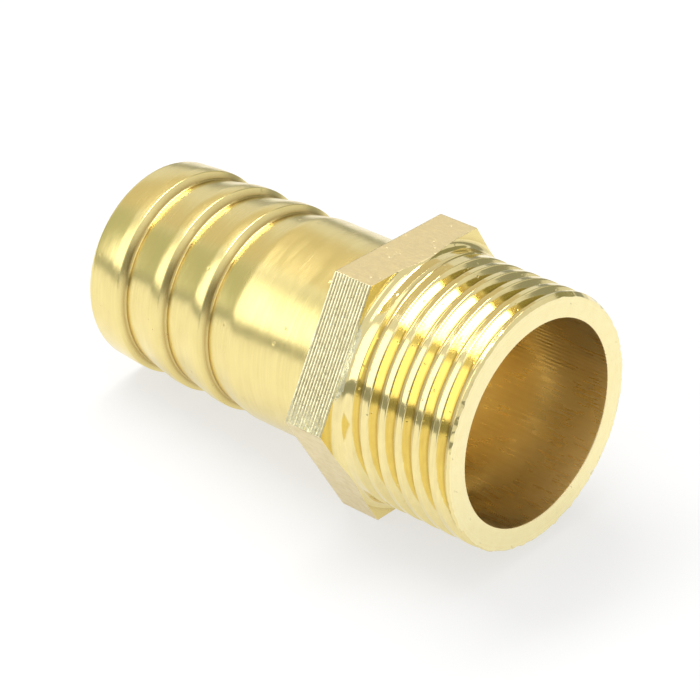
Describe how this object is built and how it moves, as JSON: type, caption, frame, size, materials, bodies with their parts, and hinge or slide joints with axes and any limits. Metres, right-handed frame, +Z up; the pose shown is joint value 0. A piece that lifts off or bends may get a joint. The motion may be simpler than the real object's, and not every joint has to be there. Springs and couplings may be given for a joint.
{
  "type": "hose barb tail",
  "caption": "Turned brass fitting with a male pipe thread, a hexagon for a spanner and a ribbed tail for a hose, bored right through.",
  "frame": {"origin": "centre of the thread's end face, on the axis of the bores", "axes": "+X along the axis out of the thread's end, so the tail points to -X; +Z up, square to one flat of the hexagon, which faces down; +Y completes the right-handed frame and passes through two corners of the hexagon"},
  "size_m": [0.0322, 0.0192, 0.0166],
  "materials": {
    "brass": "turned and drawn, bright"
  },
  "bodies": {
    "root": {"hose_tail": "brass"}
  },
  "joints": []
}
